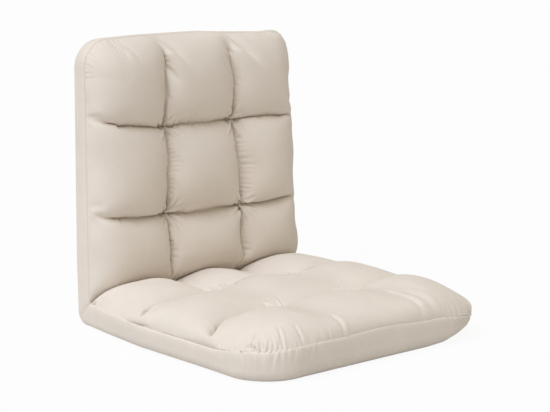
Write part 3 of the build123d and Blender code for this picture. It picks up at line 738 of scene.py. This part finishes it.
def rounding(along, across):
    """Radius of the band's lower edge: 14 mm more at the seat's front corner at +x, 4 less at the other."""
    corner = smooth(across, 0.45, 0.85) * smooth(-along, 400 * MM, 500 * MM)
    other = smooth(-across, 0.6, 0.95) * smooth(-along, 380 * MM, 480 * MM)
    return (np.interp(mm(along), *LOW_EDGE) + 14 * corner - 4 * other) * MM


def lay(x, s_at, depth):
    """Onto the strip, with the slack corners, and the seat's curled up a little."""
    t = SLAB * (1 - 2 * depth) + 0 * x
    back = settle_back(np.stack([x, s_at, t], axis=-1))
    seat = settle_seat(np.stack([x, -s_at, t], axis=-1))
    curl = 0.22 * smooth(x, 150 * MM, 262 * MM) * smooth(-s_at, 425 * MM, 520 * MM)
    return strip_point(np.where(s_at > 0, back[..., 0], seat[..., 0]),
                       np.where(s_at > 0, back[..., 1], -seat[..., 1]), depth * (1 - curl))


def band_inset(f):
    """How far in the band lies at f of its height: a groove under the seam, then a faint bulge."""
    groove_part = GROOVE * (1 - f / GROOVE_END) ** 2 if f < GROOVE_END else 0
    return groove_part * MM - BULGE * MM * sin(pi * f ** 0.6)


def make_cover():
    """The closed form under both quilts: two panels in one strip, and the band round them."""
    fine_x, fine_seat = SEAT_HALF - SEAT["fine"] * MM, SEAT_LENGTH - SEAT["fine"] * MM
    fine_back = BACK_LENGTH - BACK["fine"] * MM
    a = spaced((-SEAT_HALF, -fine_x, 2.6), (-fine_x, fine_x, 9), (fine_x, SEAT_HALF, 2.6)) / SEAT_HALF
    s = spaced((-SEAT_LENGTH, -fine_seat, 2.6), (-fine_seat, -FOLD, 7), (-FOLD, FOLD, 4), (FOLD, fine_back, 7),
               (fine_back, BACK_LENGTH, 3))
    ga, gs = np.meshgrid(a, s)
    rows, cols = ga.shape
    ring = grid_ring(rows, cols)
    ra = np.array([ga[j, i] for j, i in ring])
    rs = np.array([gs[j, i] for j, i in ring])

    verts = []
    for depth, inset in ((0.0, SEAM_INSET), (1.0, rounding(gs, ga))):
        x, s_at = strip_plan(ga, gs, inset)
        lifted = np.zeros_like(x)
        if depth == 0:
            for j, i in ring:
                lifted[j, i] = front_rise(x[j, i], -s_at[j, i]) / (2 * SLAB)
        verts.append(lay(x, s_at, depth - lifted).reshape(-1, 3))
    count = rows * cols
    faces = [(k + j * cols + i, k + j * cols + i + 1, k + (j + 1) * cols + i + 1, k + (j + 1) * cols + i)
             for k in (0, count) for j in range(rows - 1) for i in range(cols - 1)]
    loops = [[j * cols + i for j, i in ring]]

    # the band: pleats under the seat's front corners, and round the back's top corners
    edge_x, edge_s = strip_plan(ra, rs, 0)
    on_seat = rs < 0
    along = np.where(
        on_seat, edge_place(edge_x, -edge_s, SEAT_HALF, SEAT_LENGTH, np.where(ra < 0, *SEAT_CORNERS))[0],
        edge_place(edge_x, edge_s, BACK_HALF, BACK_LENGTH, np.where(ra < 0, *BACK_CORNERS))[0])
    thick, edge_round = 2 * SLAB, rounding(rs, ra)
    lift = front_rise(edge_x, -edge_s) / thick
    profile = [(band_inset(f), f * (thick - edge_round) / thick)
               for f in (0.02, 0.05, 0.08, 0.12, 0.2, 0.3, 0.42, 0.55, 0.7, 0.85)]
    profile += [(edge_round * (1 - cos(radians(k))), (thick - edge_round * (1 - sin(radians(k)))) / thick)
                for k in (0, 12, 28, 44, 60, 75)]
    start = 2 * count
    tip = smooth(ra, 0.6, 0.9) * smooth(-rs, 420 * MM, 500 * MM)   # the slack corner draws its seam in
    for inset, depth in profile:
        inset = inset + 1.6 * MM * tip * (1 - depth) ** 4
        away = depth * thick + 0 * rs
        for n, side in enumerate((-1, 1)):
            part = pleats(along, away, 60 + n, BAND_PLEATS[n], 24) * on_seat
            part += pleats(along, away, 70 + n, BACK_PLEATS, 18) * ~on_seat
            inset = inset - part * (edge_x * side > 0)
        x, s_at = strip_plan(ra, rs, inset)
        pinch = (3.5 - 2.5 * depth) * MM * np.exp(-np.abs(mm(s_at)) / 5)    # drawn in at the fold's ends
        x = np.sign(x) * (np.abs(x) - pinch * (np.abs(ra) > 0.99))
        verts.append(lay(x, s_at, depth * (1 + lift) - lift))
        loops.append(list(range(start, start + len(ring))))
        start += len(ring)
    loops.append([count + j * cols + i for j, i in ring])
    for upper, lower in zip(loops, loops[1:]):
        n = len(upper)
        faces += [(upper[k], upper[(k + 1) % n], lower[(k + 1) % n], lower[k]) for k in range(n)]
    return make_object("cover", np.concatenate(verts), faces)


cover = make_cover()

# ---------------------------------------------------------------- materials
CREAM = (0.735, 0.666, 0.588)


def new_material(name, colour, roughness, metallic=0.0):
    mat = bpy.data.materials.new(name)
    mat.use_nodes = True
    bsdf = mat.node_tree.nodes["Principled BSDF"]
    bsdf.inputs["Base Color"].default_value = (*colour, 1)
    bsdf.inputs["Roughness"].default_value = roughness
    bsdf.inputs["Metallic"].default_value = metallic
    return mat, mat.node_tree.nodes, mat.node_tree.links, bsdf


def noise(nodes, links, scale, stretch=(1, 1, 1), detail=2.0, rough=0.5):
    """Noise in object coordinates, as a socket from 0 to 1."""
    place, mapping, tex = (nodes.new(f"ShaderNode{kind}") for kind in ("TexCoord", "Mapping", "TexNoise"))
    mapping.inputs["Scale"].default_value = stretch
    tex.inputs["Scale"].default_value = scale
    tex.inputs["Detail"].default_value = detail
    tex.inputs["Roughness"].default_value = rough
    links.new(place.outputs["Object"], mapping.inputs["Vector"])
    links.new(mapping.outputs[0], tex.inputs["Vector"])
    return tex.outputs["Fac"]


def math_node(nodes, links, kind, a, b):
    node = nodes.new("ShaderNodeMath")
    node.operation = kind
    for socket, value in zip(node.inputs, (a, b)):
        if isinstance(value, (int, float)):
            socket.default_value = value
        else:
            links.new(value, socket)
    return node.outputs[0]


def seen_directly(nodes, links):
    """1 for what the camera sees, straight or mirrored or through something."""
    path = nodes.new("ShaderNodeLightPath")
    both = math_node(nodes, links, "MAXIMUM", path.outputs["Is Camera Ray"], path.outputs["Is Glossy Ray"])
    return math_node(nodes, links, "MAXIMUM", both, path.outputs["Is Transmission Ray"])


def mix_shaders(nodes, links, share, first, second, out):
    """The first shader, with this share of the second."""
    mix = nodes.new("ShaderNodeMixShader")
    for socket, source in zip(mix.inputs, (share, first.outputs[0], second.outputs[0])):
        links.new(source, socket)
    links.new(mix.outputs[0], out.inputs[0])


def ramp(nodes, links, fac, stops):
    node = nodes.new("ShaderNodeValToRGB")
    while len(node.color_ramp.elements) < len(stops):
        node.color_ramp.elements.new(0.5)
    for element, (place, colour) in zip(node.color_ramp.elements, stops):
        element.position = place
        element.color = (*colour, 1)
    links.new(fac, node.inputs[0])
    return node.outputs[0]


def bump(nodes, links, height, distance, bsdf):
    node = nodes.new("ShaderNodeBump")
    node.inputs["Strength"].default_value = 1.0
    node.inputs["Distance"].default_value = distance
    links.new(height, node.inputs["Height"])
    links.new(node.outputs[0], bsdf.inputs["Normal"])


def cloth():
    """Cream cotton: fine slubbed threads both ways, faintly uneven colour."""
    mat, nodes, links, bsdf = new_material("cream_cotton", CREAM, 0.88)
    bsdf.inputs["Sheen Weight"].default_value = 0.12
    bsdf.inputs["Sheen Roughness"].default_value = 0.5
    bsdf.inputs["Specular IOR Level"].default_value = 0.25
    threads = math_node(nodes, links, "ADD", noise(nodes, links, 900, (1, 0.12, 0.12)),
                        noise(nodes, links, 900, (0.12, 1, 1)))
    slow = noise(nodes, links, 14, detail=4.0, rough=0.6)
    mixed = math_node(nodes, links, "ADD", math_node(nodes, links, "MULTIPLY", threads, 0.25),
                      math_node(nodes, links, "MULTIPLY", slow, 0.5))
    dark, pale = [tuple(c * k for c in CREAM) for k in (0.955, 1.035)]
    links.new(ramp(nodes, links, mixed, ((0.36, dark), (0.64, pale))), bsdf.inputs["Base Color"])
    bump(nodes, links, threads, 0.00012, bsdf)
    return mat


def paint():
    """Black powder coat: fine orange peel, a little dust dulling it."""
    mat, nodes, links, bsdf = new_material("painted_tube_black", (0.03, 0.03, 0.032), 0.42)
    dull = noise(nodes, links, 18, detail=3.0)
    links.new(ramp(nodes, links, dull, ((0.35, (0.026, 0.026, 0.028)), (0.7, (0.042, 0.041, 0.04)))),
              bsdf.inputs["Base Color"])
    rough = math_node(nodes, links, "ADD", math_node(nodes, links, "MULTIPLY", dull, 0.2), 0.3)
    links.new(rough, bsdf.inputs["Roughness"])
    bump(nodes, links, noise(nodes, links, 700, detail=1.0), 0.00006, bsdf)
    return mat


def steel(name, colour, roughness, stretch, blotch):
    """Bare or plated steel: drawn or rolled streaks, uneven plating."""
    mat, nodes, links, bsdf = new_material(name, colour, roughness, metallic=1.0)
    streaks = noise(nodes, links, 260, stretch, detail=3.0)
    patches = noise(nodes, links, 70, detail=2.0)
    mixed = math_node(nodes, links, "ADD", math_node(nodes, links, "MULTIPLY", streaks, 1 - blotch),
                      math_node(nodes, links, "MULTIPLY", patches, blotch))
    dark, pale = [tuple(min(1, c * k) for c in colour) for k in (0.82, 1.12)]
    links.new(ramp(nodes, links, mixed, ((0.35, dark), (0.65, pale))), bsdf.inputs["Base Color"])
    rough = math_node(nodes, links, "ADD", math_node(nodes, links, "MULTIPLY", mixed, 0.25), roughness - 0.1)
    links.new(rough, bsdf.inputs["Roughness"])
    bump(nodes, links, streaks, 0.00004, bsdf)
    return mat


def strap():
    """Black elastic webbing: ribs along and across."""
    mat, nodes, links, bsdf = new_material("webbing_black", (0.05, 0.05, 0.055), 0.85)
    bsdf.inputs["Specular IOR Level"].default_value = 0.3
    place, ribs = nodes.new("ShaderNodeTexCoord"), nodes.new("ShaderNodeTexWave")
    ribs.bands_direction = "X"
    ribs.inputs["Scale"].default_value = 160
    ribs.inputs["Distortion"].default_value = 0.4
    links.new(place.outputs["Object"], ribs.inputs["Vector"])
    weave = math_node(nodes, links, "ADD", math_node(nodes, links, "MULTIPLY", ribs.outputs["Fac"], 0.6),
                      math_node(nodes, links, "MULTIPLY", noise(nodes, links, 500), 0.4))
    links.new(ramp(nodes, links, weave, ((0.25, (0.034, 0.034, 0.038)), (0.75, (0.07, 0.07, 0.076)))),
              bsdf.inputs["Base Color"])
    bump(nodes, links, weave, 0.0003, bsdf)
    return mat


cream_cotton = cloth()
for obj in (seat_quilt, back_quilt, cover):
    obj.data.materials.append(cream_cotton)
FINISHES = {
    "painted_tube": paint(), "webbing": strap(),
    "zinc_plate": steel("zinc_plated", (0.55, 0.56, 0.58), 0.36, (1, 1, 1), 0.7),
    "pin_steel": steel("pin_steel_turned", (0.6, 0.61, 0.62), 0.3, (6, 0.4, 0.4), 0.3),
    "spring_steel": steel("spring_steel_blued", (0.3, 0.3, 0.31), 0.34, (0.4, 3, 3), 0.4)}
for obj in frame["nodes"].values():
    finish = FINISHES.get(obj.data.materials[0].name) if obj.data.materials else None
    if finish:
        obj.data.materials.clear()
        obj.data.materials.append(finish)

# ---------------------------------------------------------------- camera, floor and light
CAMERA_PLACE = (-1.998, -2.296, 0.781)
AZIMUTH, ELEVATION = radians(-41.0), radians(10.3)
LENS, SENSOR = 113.9, 36
FLOOR_HALF, FLOOR_Z = 30, -0.0006
FLOOR_GLOW = 0.93                                # share of the floor's colour that is its own white
SKY, SKY_STRENGTH = (1.0, 0.905, 0.715, 1), 0.48
WHITE = (1, 1, 1, 1)
SUN, SUN_ENERGY, SUN_ANGLE = (0.96, 1.03, 1.19), 2.15, radians(50)
SUN_TO = Vector((0.56, 0.17, -0.8))              # which way its light goes

camera_data = bpy.data.cameras.new("camera")
camera = add_object("camera", camera_data)
camera_data.sensor_width = SENSOR
camera_data.lens = LENS
camera_data.clip_end = 2 * FLOOR_HALF
camera.location = CAMERA_PLACE
forward = Vector((-sin(AZIMUTH) * cos(ELEVATION), cos(AZIMUTH) * cos(ELEVATION), -sin(ELEVATION)))
camera.rotation_euler = forward.to_track_quat("-Z", "Y").to_euler()
bpy.context.scene.camera = camera

floor_mesh = bpy.data.meshes.new("floor")
floor_mesh.from_pydata([(a * FLOOR_HALF, b * FLOOR_HALF, FLOOR_Z) for a, b in ((-1, -1), (1, -1), (1, 1), (-1, 1))],
                       [], [(0, 1, 2, 3)])
floor = add_object("floor", floor_mesh)
floor_mat, nodes, links, floor_bsdf = new_material("floor_white", (0.74, 0.74, 0.74), 0.9)
floor_bsdf.inputs["Specular IOR Level"].default_value = 0.1
glow = nodes.new("ShaderNodeEmission")
share = math_node(nodes, links, "MULTIPLY", seen_directly(nodes, links), FLOOR_GLOW)
mix_shaders(nodes, links, share, floor_bsdf, glow, nodes["Material Output"])
floor_mesh.materials.append(floor_mat)

world = bpy.data.worlds.new("studio")
bpy.context.scene.world = world
world.use_nodes = True
nodes, links = world.node_tree.nodes, world.node_tree.links
sky = nodes["Background"]
sky.inputs[0].default_value = SKY
sky.inputs[1].default_value = SKY_STRENGTH
white = nodes.new("ShaderNodeBackground")
white.inputs[0].default_value = WHITE
mix_shaders(nodes, links, seen_directly(nodes, links), sky, white, nodes["World Output"])

sun_data = bpy.data.lights.new("window", "SUN")
sun_data.energy = SUN_ENERGY
sun_data.color = SUN
sun_data.angle = SUN_ANGLE
sun = add_object("window", sun_data)
sun.rotation_euler = SUN_TO.to_track_quat("-Z", "Y").to_euler()
bpy.context.scene.view_settings.view_transform = "Standard"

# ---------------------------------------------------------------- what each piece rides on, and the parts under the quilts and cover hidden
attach(seat_quilt, "seat")
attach(back_quilt, "back")
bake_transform(cover)
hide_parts(*[f"seat_pillow_{a}_{b}" for a in ("rear", "middle", "front")
                          for b in ("left", "centre", "right")])
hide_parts(*[f"back_pillow_{a}_{b}" for a in ("low", "middle", "top")
                          for b in ("left", "centre", "right")])
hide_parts("seat_bottom_panel", "seat_side_band", "seat_foam", "seat_wadding", "back_rear_panel",
            "back_side_band", "back_foam", "back_wadding", "hinge_cover_wrap", "hinge_gusset_left",
            "hinge_gusset_right")
